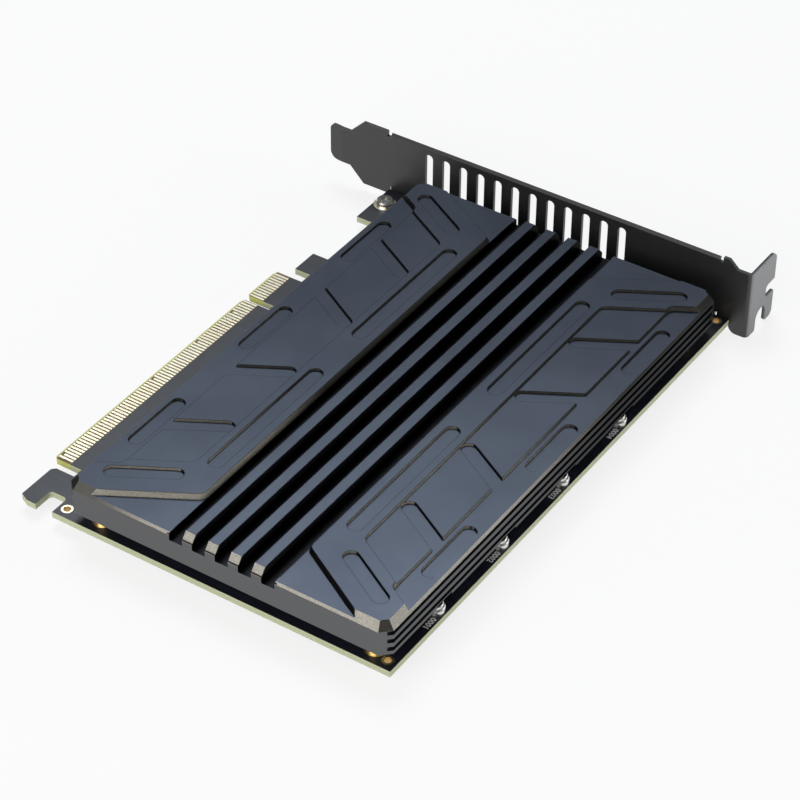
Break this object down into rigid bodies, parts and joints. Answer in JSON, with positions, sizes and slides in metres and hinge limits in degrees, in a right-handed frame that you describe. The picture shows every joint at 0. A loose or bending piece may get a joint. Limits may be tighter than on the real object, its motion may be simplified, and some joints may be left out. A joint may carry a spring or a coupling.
{
  "type": "storage module adapter card",
  "caption": "Expansion card that carries flat storage modules under a long milled heatsink with fins between two patterned panels, behind a slotted folded bracket.",
  "frame": {"origin": "bottom centre of the card's own box, as it lies on a table with the heatsink up", "axes": "+X across the card to the bracket's screw tab, +Y along the card to the bracket, +Z out of the heatsink"},
  "size_m": [0.1204, 0.158, 0.0206],
  "materials": {
    "board_black": "black solder mask, satin",
    "contact_gold": "gold plating, bright",
    "anodised_block": "fine blasted and dark anodised, satin",
    "bracket_black": "black paint, satin",
    "chip_black": "moulded, matte",
    "choke_grey": "pressed metal powder, matte",
    "capacitor_tan": "ceramic, satin",
    "socket_black": "moulded, satin",
    "plated_steel": "nickel plated, bright",
    "standoff_brass": "turned, bright",
    "pad_grey": "soft, matte"
  },
  "bodies": {
    "root": {"circuit_board": "board_black", "edge_contacts": "contact_gold", "heatsink": "anodised_block", "bracket": "bracket_black", "clock_buffer": "chip_black", "regulators": "chip_black", "inductors": "choke_grey", "ceramic_capacitors": "capacitor_tan", "bracket_screw_left": "plated_steel", "bracket_screw_right": "plated_steel", "m2_socket_1": "socket_black", "m2_standoff_1": "plated_steel", "m2_screw_1": "plated_steel", "thermal_pad_1": "pad_grey", "heatsink_standoff_1": "standoff_brass", "heatsink_screw_1": "plated_steel", "m2_socket_2": "socket_black", "m2_standoff_2": "plated_steel", "m2_screw_2": "plated_steel", "thermal_pad_2": "pad_grey", "heatsink_standoff_2": "standoff_brass", "heatsink_screw_2": "plated_steel", "m2_socket_3": "socket_black", "m2_standoff_3": "plated_steel", "m2_screw_3": "plated_steel", "thermal_pad_3": "pad_grey", "heatsink_standoff_3": "standoff_brass", "heatsink_screw_3": "plated_steel", "m2_socket_4": "socket_black", "m2_standoff_4": "plated_steel", "m2_screw_4": "plated_steel", "thermal_pad_4": "pad_grey", "heatsink_standoff_4": "standoff_brass", "heatsink_screw_4": "plated_steel"}
  },
  "joints": []
}
